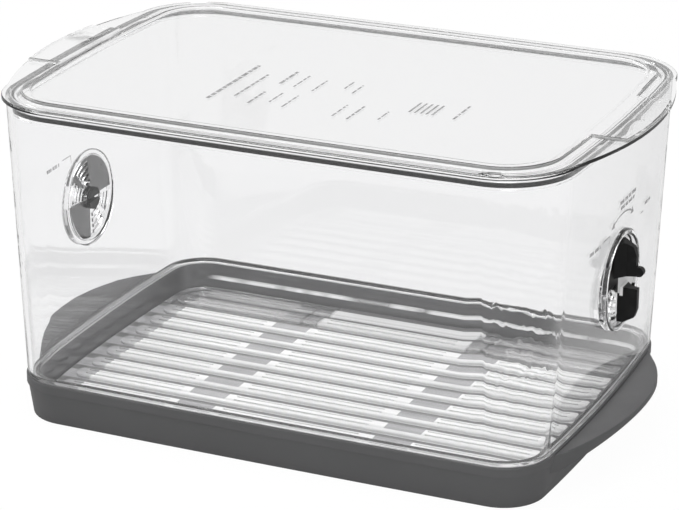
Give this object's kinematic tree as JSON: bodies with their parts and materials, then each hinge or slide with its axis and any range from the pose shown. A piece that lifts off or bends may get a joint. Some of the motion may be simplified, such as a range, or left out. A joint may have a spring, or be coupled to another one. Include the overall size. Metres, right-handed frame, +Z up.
{
  "type": "produce keeper",
  "caption": "Tall clear rounded kitchen keeper in a grey carrying tray, with a ribbed rack inside, a sealed lift-off lid and a turning air vent in each short end.",
  "frame": {"origin": "on the surface the keeper stands on, under the middle of the box", "axes": "+X along the box from one vent end to the other, +Y to the back, +Z up"},
  "size_m": [0.3504, 0.2266, 0.1832],
  "materials": {
    "clear_plastic": "clear, polished",
    "grey_plastic": "satin",
    "black_plastic": "satin",
    "seal_rubber": "matt, soft"
  },
  "bodies": {
    "box": {"base_tray": "grey_plastic", "bin": "clear_plastic", "rack": "clear_plastic"},
    "lid_body": {"lid": "clear_plastic", "lid_gasket": "seal_rubber"},
    "dial_left": {"vent_dial_left": "black_plastic"},
    "dial_right": {"vent_dial_right": "black_plastic"}
  },
  "joints": [
    {"name": "lid_lift", "type": "slide", "parent": "box", "child": "lid_body", "axis": [0, 0, 1], "range_m": [0, 0.2]},
    {"name": "vent_turn_left", "type": "hinge", "parent": "box", "child": "dial_left", "pos_m": [-0.1572, 0, 0.0935], "axis": [-1, 0, 0], "range_deg": [0, 90]},
    {"name": "vent_turn_right", "type": "hinge", "parent": "box", "child": "dial_right", "pos_m": [0.1572, 0, 0.0935], "axis": [1, 0, 0], "range_deg": [0, 90]}
  ]
}
